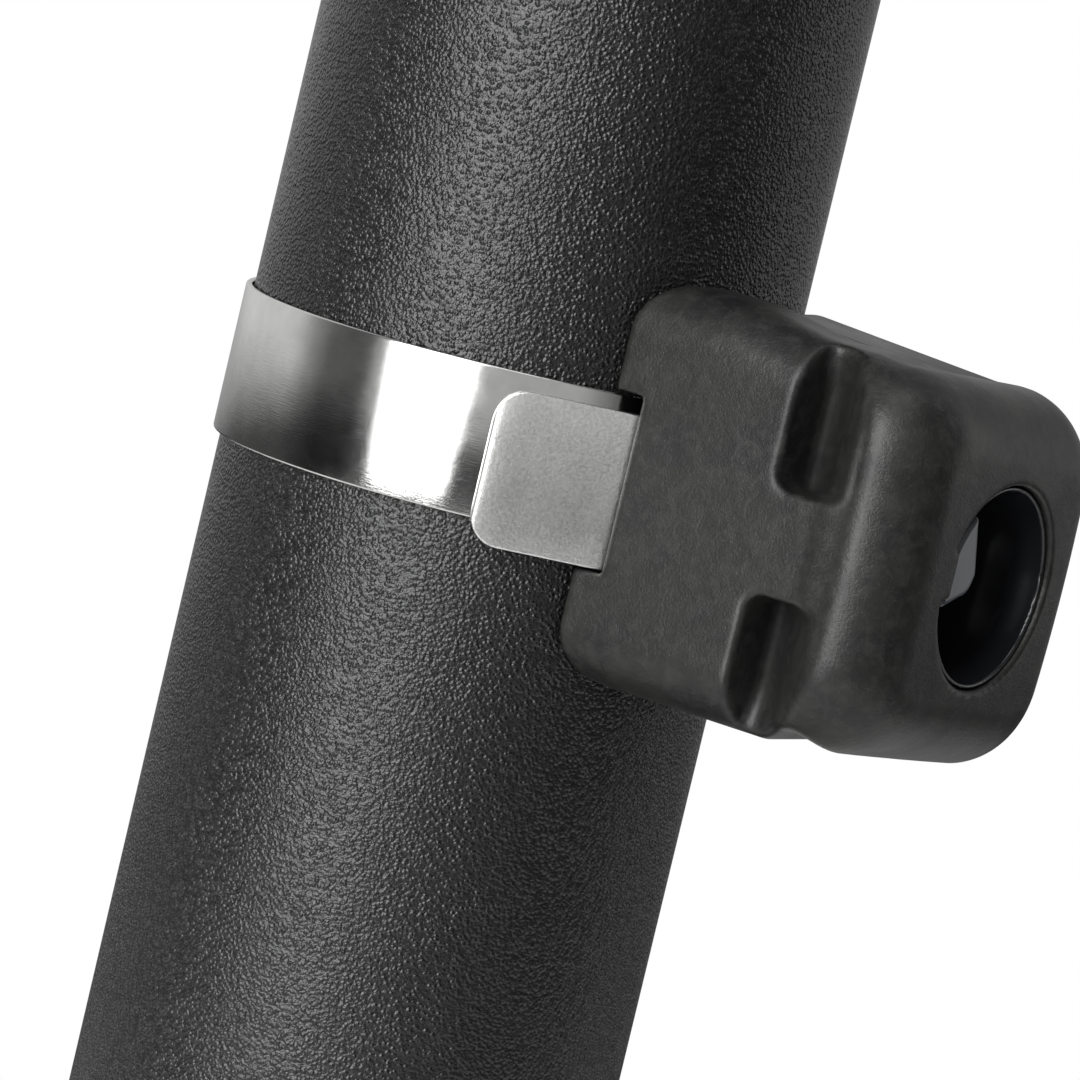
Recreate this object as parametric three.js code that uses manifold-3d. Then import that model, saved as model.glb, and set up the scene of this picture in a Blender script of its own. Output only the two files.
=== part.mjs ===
// A bicycle mini pump with a band clamp on its barrel, in millimetres, +Z up.
// The barrel's axis is the Z axis and the head's flat end bumper stands on z = 0.
// The handle is on top, pushed home.
// The clamp block points along +X and the valve mouth along -X.
import * as THREE from "three";
import { mergeVertices } from "three/addons/utils/BufferGeometryUtils.js";
import Module from "manifold-3d";

const wasm = await Module();
wasm.setup();

// ---- Driving dimensions ----
const GAP = 0.3; // running and assembly clearance between neighbouring faces
const BARREL_R = 16;
const BORE_R = 13.75;
const BARREL_Z = [33, 190];
const HEAD_R = 18.5;
const BUMPER_TOP = 4;
const HEAD_TOP = 42;
const CHUCK_Z = 20; // height of the valve mouth's axis and of the lever pin
const CHUCK_BORE_R = 8;
const BOSS_R = 11;
const THREAD_R = 9.7; // end of the boss, under the chuck cap
const THREAD_START_X = -22;
const BOSS_END_X = -29.3;
const VALVE_R = 3.9; // bore that takes the tyre valve
const LEVER_PIN_X = 19;
const LEVER_LENGTH = 42;
const CAM_R = 5;
const CAM_RISE = 2.2; // eccentricity of the cam and travel of the plunger
const LEVER_HALF_WIDTH = 7;
const LEVER_PIN_R = 1.6;
const SLOT_HALF = 5; // half width of the lever's slot in the head
const PLUNGER_X = [-15.4, 15.9];
const STEM_R = 3.2;
const PLUG_TOP = 40; // top of the plug that closes the barrel's lower end
const VALVE_POCKET_R = 6.5; // space of the check valve's disc, under the plug
const VALVE_POCKET_DEPTH = 3;
const AIR_R = 2; // air passages of the plug and the head
const LUG_R = 6; // lugs that carry the lever's pin
const LUG_HALF = 9; // half width across both lugs
const SPIGOT_R = 5; // of the bumper, pushed up into the head
const SPIGOT_TOP = 8;
const CAP_END_X = -36; // front of the chuck cap
const CAP_R = [11.5, 12.2]; // valleys and crests of its knurl
const ROD_R = 6;
const ROD_INNER_R = 4.4;
const ROD_Z = [50.3, 277.7];
const COLLAR_Z = [180, 199.7];
const NECK_R = 9; // rod bush and wiper ring, inside the collar's neck
const BUSH_Z = [185, 190, 195.6]; // foot, top of the flange, top
const WIPER_Z = [196, 198.8];
const HANDLE_Z = [200.5, 294];
const HANDLE_R = 18.5;
const CORE_R = 14.5;
const CORE_TOP = 282;
const GRIP_Z = [207.6, 282.3];
const CAP_Z = [282.6, 287]; // skirt of the end cap, and the underside of its top
const SCREW_SPACE_R = 8; // room for the handle screw's head inside the end cap
const PISTON_R = 12.9;
const PISTON_Z = [47.6, 51, 54]; // foot, top of the full diameter, top
const CUP_Z = [42.6, 45.3, 47.3]; // lip, underside of the floor, top
const SCREW_R = 2; // M4 shank
const CLAMP_Z = 118; // height of the clamp band's centre line
const BAND_WIDTH = 9;
const BAND_THICKNESS = 0.5;
const BLOCK_Z = CLAMP_Z - 0.5;
const BLOCK_HALF_HEIGHT = 11.9;
const HEAD_DROP = 0.75; // the socket's axis is this much lower than the middle of the block
const BLOCK_HALF_WIDTH = 11.9;
const BLOCK_END_X = 35.3;
const SOCKET_Z = BLOCK_Z - HEAD_DROP;
const SOCKET_R = 6;
const SOCKET_FLOOR_X = 24.7;
const LINER_R = 6.9;
const LINER_END_X = 33.2;
const KEY_HALF = 1.35; // half width of the socket's key rib
const KEY_TOP_Y = -4.1; // how far the rib reaches into the socket

const FINE = 48; // facets round the large turned pieces
const MEDIUM = 32;
const COARSE = 20;

// ---- Materials ----
function finish(color, roughness, metalness) {
  return new THREE.MeshStandardMaterial({ color, roughness, metalness });
}
const grained = finish(0x2b2d2a, 0.55, 0);
const hardBlack = finish(0x202122, 0.4, 0);
const glossBlack = finish(0x141416, 0.15, 0);
const rubber = finish(0x33342f, 0.75, 0);
const stainless = finish(0xb9bab8, 0.3, 1);
const steel = finish(0x8e9092, 0.35, 1);
const aluminium = finish(0xc4c6c8, 0.35, 1);
const brass = finish(0xb08d4a, 0.35, 1);
const acetal = finish(0xe4e2da, 0.5, 0);

// ---- Solids ----
const degrees = THREE.MathUtils.degToRad;

// A three.js geometry as a manifold-3d solid, facing out.
function solid(geometry) {
  const bare = new THREE.BufferGeometry();
  bare.setAttribute("position", geometry.getAttribute("position").clone());
  if (geometry.index) bare.setIndex(geometry.index.clone());
  const merged = mergeVertices(bare, 1e-4);
  const vertProperties = merged.attributes.position.array;
  const triVerts = new Uint32Array(merged.index.array);
  const make = () => new wasm.Manifold(new wasm.Mesh({ numProp: 3, vertProperties, triVerts }));
  const made = make();
  if (made.volume() > 0) return made;
  for (let i = 0; i < triVerts.length; i += 3) {
    [triVerts[i + 1], triVerts[i + 2]] = [triVerts[i + 2], triVerts[i + 1]];
  }
  return make();
}

// A manifold-3d solid as a three.js geometry.
function geometryOf(made) {
  const mesh = made.getMesh();
  const points = new Float32Array(mesh.numVert * 3);
  for (let i = 0; i < mesh.numVert; i++) {
    points.set(mesh.vertProperties.subarray(i * mesh.numProp, i * mesh.numProp + 3), i * 3);
  }
  const geometry = new THREE.BufferGeometry();
  geometry.setAttribute("position", new THREE.BufferAttribute(points, 3));
  geometry.setIndex(new THREE.BufferAttribute(new Uint32Array(mesh.triVerts), 1));
  geometry.computeVertexNormals();
  return geometry;
}

const AXIS_TURN = {
  X: (g) => g.rotateZ(-Math.PI / 2),
  Y: (g) => g,
  Z: (g) => g.rotateX(Math.PI / 2),
};

// A closed outline of [radius, position] pairs turned round an axis through `at`.
function turned(outline, segments, axis = "Z", at = [0, 0, 0]) {
  const points = outline.map(([r, h]) => new THREE.Vector2(r, h));
  const [first, last] = [points[0], points.at(-1)];
  if (first.x !== 0 || last.x !== 0) points.push(first.clone());
  const geometry = new THREE.LatheGeometry(points, segments);
  return solid(AXIS_TURN[axis](geometry).translate(...at));
}

// A cylinder, or a ring where inner is above 0, from low to high along an axis.
function ring(outer, inner, low, high, segments, axis = "Z", at = [0, 0, 0]) {
  return turned([[inner, low], [outer, low], [outer, high], [inner, high]], segments, axis, at);
}

// The same with its outer edges chamfered.
function chamfered(outer, inner, low, high, cut, segments, axis = "Z", at = [0, 0, 0]) {
  const outline = [
    [inner, low], [outer - cut, low], [outer, low + cut],
    [outer, high - cut], [outer - cut, high], [inner, high],
  ];
  return turned(outline, segments, axis, at);
}

function box([x0, x1], [y0, y1], [z0, z1]) {
  const geometry = new THREE.BoxGeometry(x1 - x0, y1 - y0, z1 - z0);
  return solid(geometry.translate((x0 + x1) / 2, (y0 + y1) / 2, (z0 + z1) / 2));
}

// An outline of [x, y] points, drawn in the XY plane, as a slab from z = low to z = high.
function slab(points, low, high) {
  const shape = new THREE.Shape(points.map(([x, y]) => new THREE.Vector2(x, y)));
  const geometry = new THREE.ExtrudeGeometry(shape, { depth: high - low, bevelEnabled: false });
  return solid(geometry.translate(0, 0, low));
}

// A torus round the Z axis or the X axis.
function oRing(radius, thickness, height, axis = "Z", at = [0, 0, 0]) {
  const sides = 8;
  const outline = Array.from({ length: sides }, (_, i) => {
    const turn = (2 * Math.PI * i) / sides;
    return [radius + thickness * Math.cos(turn), height + thickness * Math.sin(turn)];
  });
  return turned(outline, MEDIUM, axis, at);
}

// Points on an arc about (cx, cy), from one angle to another in degrees.
function arc(cx, cy, radius, from, to, steps) {
  return Array.from({ length: steps + 1 }, (_, i) => {
    const turn = degrees(from + ((to - from) * i) / steps);
    return [cx + radius * Math.cos(turn), cy + radius * Math.sin(turn)];
  });
}

function mesh(name, made, material) {
  const part = new THREE.Mesh(geometryOf(made), material);
  part.name = name;
  return part;
}

// A socket-head cap screw along -Z, with the underside of its head at z = 0.
function capScrew(shankR, length, headR, headHeight) {
  const hex = ring(headR * 0.45, 0, headHeight * 0.4, headHeight + 1, 6);
  const head = chamfered(headR, 0, 0, headHeight, 0.3, COARSE);
  const shank = ring(shankR, 0, -length, 0.1, COARSE);
  return head.add(shank).subtract(hex);
}

// ---- Barrel ----
const CHUCK_AT = [0, 0, CHUCK_Z];

function barrelTube() {
  return ring(BARREL_R, BORE_R, ...BARREL_Z, FINE);
}

// Screwed cap on top of the barrel, with eight grip scallops round it.
function topCollar() {
  const [low, high] = COLLAR_Z;
  const skirtTop = BARREL_Z[1] + GAP;
  const scallops = 8;
  let collar = turned(
    [[BARREL_R + GAP, low], [HEAD_R - 0.8, low], [HEAD_R, low + 0.8], [HEAD_R, high - 1.5], [HEAD_R - 1.5, high],
      [NECK_R + GAP, high], [NECK_R + GAP, skirtTop], [BARREL_R + GAP, skirtTop]],
    FINE,
  );
  for (let i = 0; i < scallops; i++) {
    const turn = (2 * Math.PI * i) / scallops;
    const at = [Math.cos(turn) * (HEAD_R + 2.2), Math.sin(turn) * (HEAD_R + 2.2), 0];
    collar = collar.subtract(ring(3, 0, low - 1, high - 4, 12, "Z", at));
  }
  return collar;
}

function rodBush() {
  const flange = BORE_R - GAP;
  const slide = ROD_R + GAP;
  const [low, middle, high] = BUSH_Z;
  const outline = [[slide, low], [flange, low], [flange, middle], [NECK_R, middle], [NECK_R, high], [slide, high]];
  return turned(outline, MEDIUM);
}

function wiperRing() {
  const [low, high] = WIPER_Z;
  return turned([[ROD_R + GAP, low], [NECK_R, low], [NECK_R, high], [ROD_R + 1, high]], MEDIUM);
}

// Plug in the barrel's lower end: the seat of the check valve is the underside of its small hole.
function endPlug() {
  const plug = ring(BORE_R - GAP, 0, BARREL_Z[0], PLUG_TOP, MEDIUM);
  const pocket = ring(VALVE_POCKET_R, 0, BARREL_Z[0] - 1, BARREL_Z[0] + VALVE_POCKET_DEPTH, COARSE);
  const airHole = ring(AIR_R, 0, BARREL_Z[0], PLUG_TOP + 1, COARSE);
  const groove = ring(BORE_R + 1, BORE_R - 2, BARREL_Z[0] + 3.2, BARREL_Z[0] + 5, MEDIUM);
  return plug.subtract(pocket).subtract(airHole).subtract(groove);
}

function valveDisc() {
  return ring(5.6, 0, BARREL_Z[0] + 0.3, BARREL_Z[0] + 1.7, COARSE);
}

// ---- Head ----
function headBody() {
  const foot = BUMPER_TOP + GAP;
  let body = turned(
    [[0, foot], [HEAD_R, foot], [HEAD_R, HEAD_TOP - 2], [HEAD_R - 1.2, HEAD_TOP], [0, HEAD_TOP]],
    FINE,
  );
  body = body.add(ring(BOSS_R, 0, THREAD_START_X, 0, MEDIUM, "X", CHUCK_AT));
  body = body.add(ring(THREAD_R, 0, BOSS_END_X, 0, MEDIUM, "X", CHUCK_AT));
  const lugX = LEVER_PIN_X - 0.5;
  const lugEnd = ring(LUG_R, 0, -LUG_HALF, LUG_HALF, MEDIUM, "Y", [lugX, 0, CHUCK_Z]);
  body = body.add(lugEnd);
  body = body.add(box([0, lugX], [-LUG_HALF, LUG_HALF], [CHUCK_Z - LUG_R, CHUCK_Z + LUG_R]));
  const socket = ring(BARREL_R + GAP, 0, BARREL_Z[0] - GAP, HEAD_TOP + 1, FINE);
  const chuckBore = ring(CHUCK_BORE_R, 0, BOSS_END_X - 1, 8, MEDIUM, "X", CHUCK_AT);
  const stemBore = ring(STEM_R + GAP, 0, 0, LEVER_PIN_X, COARSE, "X", CHUCK_AT);
  const airHole = ring(AIR_R, 0, CHUCK_Z, BARREL_Z[0] + 1, COARSE);
  const leverSlot = box([13.2, 30], [-SLOT_HALF, SLOT_HALF], [CHUCK_Z - 9, HEAD_TOP - 6]);
  const pinHole = ring(LEVER_PIN_R + GAP, 0, -12, 12, COARSE, "Y", [LEVER_PIN_X, 0, CHUCK_Z]);
  const spigotHole = ring(SPIGOT_R + GAP, 0, 0, SPIGOT_TOP + GAP, COARSE);
  const airGroove = box([-9, 9], [-1, 1], [BARREL_Z[0] - 2, BARREL_Z[0] + 1]);
  const hollows = [socket, chuckBore, stemBore, airHole, airGroove, leverSlot, pinHole, spigotHole];
  return hollows.reduce((a, b) => a.subtract(b), body);
}

// Rubber foot with a spigot that is pushed up into the head.
function endBumper() {
  const disc = turned([[0, 0], [HEAD_R - 1, 0], [HEAD_R, 1], [HEAD_R, BUMPER_TOP], [0, BUMPER_TOP]], FINE);
  return disc.add(ring(SPIGOT_R, 0, 1, SPIGOT_TOP, COARSE));
}

// Knurled cap that screws over the boss and holds the valve gasket in.
function chuckCap() {
  const flutes = 18;
  const end = CAP_END_X;
  const rim = Array.from({ length: flutes * 2 }, (_, i) => {
    const turn = (Math.PI * i) / flutes;
    const r = CAP_R[i % 2];
    return [r * Math.cos(turn), r * Math.sin(turn)];
  });
  const length = THREAD_START_X - GAP - end;
  const knurled = slab(rim, 0, length).rotate([0, 90, 0]).translate([end, 0, CHUCK_Z]);
  const thread = ring(THREAD_R + GAP, 0, BOSS_END_X - GAP, 0, MEDIUM, "X", CHUCK_AT);
  const holeR = VALVE_R + 0.6;
  const outline = [[0, end - 1], [6.4, end - 1], [holeR, end + 1.2], [holeR, 0], [0, 0]];
  const mouth = turned(outline, COARSE, "X", CHUCK_AT);
  return knurled.subtract(thread).subtract(mouth);
}

function valveGasket() {
  return ring(CHUCK_BORE_R - GAP, VALVE_R, BOSS_END_X + GAP, -18, MEDIUM, "X", CHUCK_AT);
}

function leverPin() {
  return ring(LEVER_PIN_R, 0, -8.8, 8.8, COARSE, "Y", [LEVER_PIN_X, 0, CHUCK_Z]);
}

// Plunger that squeezes the gasket: a drilled body in the chuck bore and a stem that the cam pushes.
function plunger() {
  const [front, back] = PLUNGER_X;
  const body = ring(CHUCK_BORE_R - GAP, 0, front, -6, MEDIUM, "X", CHUCK_AT);
  const stem = ring(STEM_R, 0, -7, back, COARSE, "X", CHUCK_AT);
  const drilling = ring(1.6, 0, front - 1, -1, 12, "X", CHUCK_AT);
  const crossHole = ring(1.1, 0, CHUCK_Z - 5, CHUCK_Z + 5, 12, "Z", [-3, 0, 0]);
  const groove = ring(CHUCK_BORE_R + 1, 6, -12.4, -10.4, MEDIUM, "X", CHUCK_AT);
  return body.add(stem).subtract(drilling).subtract(crossHole).subtract(groove);
}

// Thumb lever: an eccentric hub that works as the cam, and a dished arm that stands up along the barrel.
function thumbLever() {
  const half = SLOT_HALF - GAP;
  const [armLow, armTop] = [CHUCK_Z + 9, CHUCK_Z + LEVER_LENGTH];
  const hub = ring(CAM_R, 0, -half, half, MEDIUM, "Y", [LEVER_PIN_X + CAM_RISE, 0, CHUCK_Z]);
  const neck = box([19.6, 24.4], [-half, half], [CHUCK_Z, CHUCK_Z + 12]);
  const side = [
    [19.6, armLow], [24.4, armLow], [24.4, armTop - 12],
    [27.5, armTop], [24.5, armTop], [19.6, armTop - 11],
  ];
  const arm = slab(side, -LEVER_HALF_WIDTH, LEVER_HALF_WIDTH).rotate([90, 0, 0]);
  const face = roundedRectangle(LEVER_HALF_WIDTH, (armTop - armLow) / 2, 3, 4).map(([y, z]) => [-z, y]);
  const corners = slab(face, 0, 12).rotate([0, 90, 0]).translate([17, 0, (armLow + armTop) / 2]);
  const pinHole = ring(LEVER_PIN_R + GAP, 0, -12, 12, COARSE, "Y", [LEVER_PIN_X, 0, CHUCK_Z]);
  return hub.add(neck).add(arm.intersect(corners)).subtract(pinHole);
}

// ---- Handle, rod and piston ----
function pistonRod() {
  return ring(ROD_R, ROD_INNER_R, ...ROD_Z, MEDIUM);
}

function rodPlug(low, high) {
  return ring(ROD_INNER_R - GAP, SCREW_R + GAP, low, high, COARSE);
}

function pistonBody() {
  const socketFloor = ROD_Z[0] - GAP;
  const [low, shoulder, high] = PISTON_Z;
  return turned(
    [
      [SCREW_R + GAP, low], [PISTON_R, low], [PISTON_R, shoulder], [PISTON_R - 1.4, high],
      [ROD_R + GAP, high], [ROD_R + GAP, socketFloor], [SCREW_R + GAP, socketFloor],
    ],
    MEDIUM,
  );
}

// Lip seal: the lip points down into the compressed air.
function pistonCup() {
  const [lip, floor, high] = CUP_Z;
  return turned(
    [
      [SCREW_R + GAP, floor], [12, floor], [12.6, lip],
      [BORE_R - GAP, lip], [13, high], [SCREW_R + GAP, high],
    ],
    MEDIUM,
  );
}

function handleCore() {
  const [low] = HANDLE_Z;
  const rodTop = ROD_Z[1] + GAP;
  return turned(
    [
      [ROD_R + GAP, low], [HANDLE_R - 1.2, low], [HANDLE_R - 0.4, low + 1],
      [HANDLE_R - 0.4, low + 3.5], [CORE_R, low + 3.5], [CORE_R, CORE_TOP],
      [SCREW_R + GAP, CORE_TOP], [SCREW_R + GAP, rodTop], [ROD_R + GAP, rodTop],
    ],
    MEDIUM,
  );
}

function handleGrip() {
  const inner = CORE_R + GAP;
  const [low, high] = GRIP_Z;
  const waist = 245;
  return turned(
    [
      [inner, low], [HANDLE_R - 1, low], [HANDLE_R, low + 2.4], [HANDLE_R - 0.8, waist],
      [HANDLE_R, high - 2.3], [HANDLE_R - 1, high], [inner, high],
    ],
    FINE,
  );
}

function handleEndCap() {
  const [, top] = HANDLE_Z;
  const [skirt, underside] = CAP_Z;
  return turned(
    [
      [0, underside], [SCREW_SPACE_R, underside], [SCREW_SPACE_R, skirt], [HANDLE_R, skirt],
      [HANDLE_R, top - 4.5], [HANDLE_R - 1.5, top - 1.4], [HANDLE_R - 4.5, top], [0, top],
    ],
    FINE,
  );
}

// ---- Clamp ----
const BAND_INNER_R = BARREL_R + GAP;
const BAND_MID_R = BAND_INNER_R + BAND_THICKNESS / 2;
const BAND_PIN_R = 0.9;
const LOOP_R = BAND_PIN_R + GAP + BAND_THICKNESS / 2; // centre line of the strap round its pin
const LEAVE_ANGLE = 28; // where the strap leaves the barrel, from the block's axis
const TAB_ANGLE = 46; // direction that the folded-back tab faces
const TAB_DISTANCE = BAND_MID_R + BAND_THICKNESS + 0.2; // of the tab's centre line from the barrel's axis
const TAB_WIDTH = 9.2;
const TAB_DROP = 1.1;
const TAB_REACH = 4; // of the tab's free end past the point where it lies on the band

const facing = (angle) => [Math.cos(degrees(angle)), Math.sin(degrees(angle))];

// Centre of a strap pin: it touches the tangent at LEAVE_ANGLE from outside and the tab's line from inside.
function pinCentre() {
  const [a, b] = facing(LEAVE_ANGLE);
  const [c, d] = facing(TAB_ANGLE);
  const [p, q] = [BAND_MID_R + LOOP_R, TAB_DISTANCE - LOOP_R];
  const det = a * d - b * c;
  return [(p * d - b * q) / det, (a * q - c * p) / det];
}
const PIN = pinCentre();

// Centre line of half the strap, on the +Y side: from behind the barrel to the free end of the tab.
function halfStrapLine() {
  const round = arc(0, 0, BAND_MID_R, 180, LEAVE_ANGLE, 22);
  const loop = arc(...PIN, LOOP_R, LEAVE_ANGLE + 180, TAB_ANGLE + 360, 10);
  const [nx, ny] = facing(TAB_ANGLE);
  const end = [nx * TAB_DISTANCE - ny * TAB_REACH, ny * TAB_DISTANCE + nx * TAB_REACH];
  return [...round, ...loop, end];
}

// A line thickened to an outline of the given width.
function thickened(line, width) {
  const sides = [1, -1].map((sign) =>
    line.map(([x, y], i) => {
      const [ax, ay] = line[Math.max(i - 1, 0)];
      const [bx, by] = line[Math.min(i + 1, line.length - 1)];
      const length = Math.hypot(bx - ax, by - ay);
      return [x - (sign * (by - ay) * width) / 2 / length, y + (sign * (bx - ax) * width) / 2 / length];
    }),
  );
  return [...sides[0], ...sides[1].reverse()];
}

// The strap: once round the barrel, each end folded back over its pin and out again as a flat tab.
// The tabs are cut a little wider than the band and sit a little lower.
// Their free ends have round corners.
function clampBand() {
  const half = halfStrapLine();
  const tabStart = half.length - 4;
  const other = half.slice(1, -1).map(([x, y]) => [x, -y]).reverse();
  const loop = thickened([...other, ...half.slice(0, -1)], BAND_THICKNESS);
  const band = slab(loop, ...aroundBand(BAND_WIDTH, 0));
  let strap = band;
  for (const side of [-1, 1]) {
    const line = half.slice(tabStart).map(([x, y]) => [x, y * side]);
    const flat = thickened(side > 0 ? line : line.reverse(), BAND_THICKNESS);
    const tab = slab(flat, ...aroundBand(TAB_WIDTH, -TAB_DROP));
    const outline = roundedRectangle(TAB_WIDTH / 2, TAB_REACH + 6, 1.8, 4);
    const cutter = slab(outline, 0, 24).rotate([0, 90, 0]).rotate([0, 0, TAB_ANGLE * side]);
    const middle = CLAMP_Z - TAB_DROP;
    const shift = -6 * side;
    const [nx, ny] = facing(TAB_ANGLE * side);
    strap = strap.add(tab.intersect(cutter.translate([-ny * shift, nx * shift, middle])));
  }
  return strap;
}

// Lowest and highest z of a strip of the given width, shifted up or down from the band's centre line.
function aroundBand(width, shift) {
  return [CLAMP_Z + shift - width / 2, CLAMP_Z + shift + width / 2];
}

// A rectangle with round corners, centred on the origin.
function roundedRectangle(halfX, halfY, radius, steps) {
  const [x, y] = [halfX - radius, halfY - radius];
  return [
    ...arc(x, y, radius, 0, 90, steps),
    ...arc(-x, y, radius, 90, 180, steps),
    ...arc(-x, -y, radius, 180, 270, steps),
    ...arc(x, -y, radius, 270, 360, steps),
  ];
}

// Outline of the block seen from above, as [x, half width] pairs: the saddle swells into the head.
const BLOCK_PLAN = [[13.1, 10.1], [28.2, 10.75], [31, 11.8], [33.3, 11.8], [BLOCK_END_X, 9.7]];

// Outline of the block seen from the side, as [x, height over the block's middle] pairs.
// There is a small notch under the place where the saddle meets the head.
const BLOCK_PROFILE = [
  [13.1, 9.6], [13.1, -9.6], [15.3, -11.9], [27.6, -11.9], [28.4, -10.9], [29.2, -10.9], [30.2, -11.9],
  [33.3, -11.9], [BLOCK_END_X, -9.9], [BLOCK_END_X, 8.4], [33.3, 10.6], [29, 10.8], [25.5, 11.1],
  [18.5, 11.9], [15.3, 11.9],
];

// A side pocket seen from above, as [x, y] pairs: steep towards the saddle, slanted towards the head.
const POCKET = [[25.3, 7.4], [26.2, 7.4], [30.6, 11.8], [30.6, 13], [24.8, 13], [24.8, 10.4]];
const POCKET_MIDDLE = -0.65; // height of the web between the pockets, over the block's middle
const WEB_HALF = 3.05;
const POCKET_END = 10.4;

// Room for the draw yoke and the strap's folds, open towards the barrel: half its width and height.
const CAVITY_HALF = [8.6, 7.3];
const CAVITY_END_X = 23.8;
const YOKE_X = [20.6, 22.2];
const YOKE_HALF_WIDTH = 7.6;
const YOKE_HALF_HEIGHT = 6.9;

// The block: a saddle on the barrel, four side pockets, and a square head with the socket in its end.
function clampBlock() {
  const mirrored = BLOCK_PLAN.map(([x, y]) => [x, -y]).reverse();
  const plan = slab([...BLOCK_PLAN, ...mirrored], -BLOCK_HALF_HEIGHT, BLOCK_HALF_HEIGHT);
  const profile = slab(BLOCK_PROFILE, -BLOCK_HALF_WIDTH, BLOCK_HALF_WIDTH).rotate([90, 0, 0]);
  const section = roundedRectangle(BLOCK_HALF_HEIGHT, BLOCK_HALF_WIDTH, 4, 4);
  const prism = slab(section, 0, BLOCK_END_X).rotate([0, 90, 0]);
  let block = plan.intersect(profile).intersect(prism);
  for (const [low, high] of [[WEB_HALF, POCKET_END], [-POCKET_END, -WEB_HALF]]) {
    const pocket = slab(POCKET, low + POCKET_MIDDLE, high + POCKET_MIDDLE);
    block = block.subtract(pocket).subtract(pocket.mirror([0, 1, 0]));
  }
  block = block.translate([0, 0, BLOCK_Z]);
  const seat = ring(BARREL_R + GAP, 0, CLAMP_Z - 20, CLAMP_Z + 20, FINE);
  const strapSlot = ring(18.6, 0, CLAMP_Z - 6.05, CLAMP_Z + BAND_WIDTH / 2 + GAP, FINE);
  const [halfY, halfZ] = CAVITY_HALF;
  const cavity = box([10, CAVITY_END_X], [-halfY, halfY], [BLOCK_Z - halfZ, BLOCK_Z + halfZ]);
  const at = [0, 0, SOCKET_Z];
  const linerHole = ring(LINER_R + GAP, 0, SOCKET_FLOOR_X - 2 - GAP, LINER_END_X + GAP, MEDIUM, "X", at);
  const mouth = ring(SOCKET_R, 0, LINER_END_X, BLOCK_END_X + 1, MEDIUM, "X", at);
  return [seat, strapSlot, cavity, linerHole, mouth].reduce((a, b) => a.subtract(b), block);
}

// Hard liner of the socket, with a key rib inside its mouth and a floor that the screw bears on.
function socketLiner() {
  const at = [0, 0, SOCKET_Z];
  const start = SOCKET_FLOOR_X - 2;
  const outline = [
    [SCREW_R + GAP, start], [LINER_R, start], [LINER_R, LINER_END_X],
    [SOCKET_R, LINER_END_X], [SOCKET_R, SOCKET_FLOOR_X], [SCREW_R + GAP, SOCKET_FLOOR_X],
  ];
  const sleeve = turned(outline, MEDIUM, "X", at);
  const keyFace = BLOCK_END_X - 0.6;
  const keyZ = [SOCKET_Z - KEY_HALF, SOCKET_Z + KEY_HALF];
  const key = box([29.8, LINER_END_X], [-SOCKET_R - 0.6, KEY_TOP_Y], keyZ);
  const keyNose = box([LINER_END_X - 0.1, keyFace], [GAP - SOCKET_R + 0.1, KEY_TOP_Y], keyZ);
  return sleeve.add(key).add(keyNose);
}

// Draw yoke: a plate that the screw pulls outwards, with two ears that carry the strap's pins.
function drawYoke() {
  const plateZ = [BLOCK_Z - YOKE_HALF_HEIGHT, BLOCK_Z + YOKE_HALF_HEIGHT];
  const plate = box(YOKE_X, [-YOKE_HALF_WIDTH, YOKE_HALF_WIDTH], plateZ);
  const [px, py] = PIN;
  const bossHole = ring(SCREW_R + 0.15, 0, 10, 30, COARSE, "X", [0, 0, SOCKET_Z]);
  let yoke = plate;
  for (const end of [-1, 1]) {
    const ear = [YOKE_HALF_HEIGHT - 1.3, YOKE_HALF_HEIGHT];
    const [z0, z1] = ear.map((z) => BLOCK_Z + z * end).sort((a, b) => a - b);
    yoke = yoke.add(box([16.9, 21], [-6.9, 6.9], [z0, z1]));
  }
  for (const side of [-1, 1]) {
    const pinHole = ring(BAND_PIN_R + 0.15, 0, BLOCK_Z - 10, BLOCK_Z + 10, 16, "Z", [px, py * side, 0]);
    yoke = yoke.subtract(pinHole);
  }
  return yoke.subtract(bossHole);
}

function bandPin(side) {
  const [low, high] = [BLOCK_Z - YOKE_HALF_HEIGHT, BLOCK_Z + YOKE_HALF_HEIGHT];
  return ring(BAND_PIN_R, 0, low, high, 12, "Z", [PIN[0], PIN[1] * side, 0]);
}

function clampScrew() {
  const screw = capScrew(SCREW_R, 8, 3.4, 3.8);
  return screw.rotate([0, 90, 0]).translate([SOCKET_FLOOR_X + 1.3, 0, SOCKET_Z]);
}

function clampWasher() {
  return ring(4.4, SCREW_R + GAP, SOCKET_FLOOR_X + 0.2, SOCKET_FLOOR_X + 1, COARSE, "X", [0, 0, SOCKET_Z]);
}

// ---- Assembly ----
const barrel = new THREE.Group();
barrel.add(
  mesh("barrel_tube", barrelTube(), grained),
  mesh("top_collar", topCollar(), hardBlack),
  mesh("rod_bush", rodBush(), acetal),
  mesh("rod_wiper_ring", wiperRing(), rubber),
  mesh("barrel_end_plug", endPlug(), acetal),
  mesh("end_plug_seal", oRing(BORE_R - 1.15, 0.75, BARREL_Z[0] + 4.1), rubber),
  mesh("head_body", headBody(), hardBlack),
  mesh("end_bumper", endBumper(), rubber),
  mesh("chuck_cap", chuckCap(), hardBlack),
  mesh("valve_gasket", valveGasket(), rubber),
  mesh("lever_pin", leverPin(), steel),
);

const checkValve = new THREE.Group();
checkValve.add(mesh("check_valve_disc", valveDisc(), rubber));

const lever = new THREE.Group();
lever.add(mesh("thumb_lever", thumbLever(), hardBlack));

const squeeze = new THREE.Group();
squeeze.add(
  mesh("gasket_plunger", plunger(), aluminium),
  mesh("plunger_seal", oRing(7, 0.7, -11.4, "X", CHUCK_AT), rubber),
);

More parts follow.
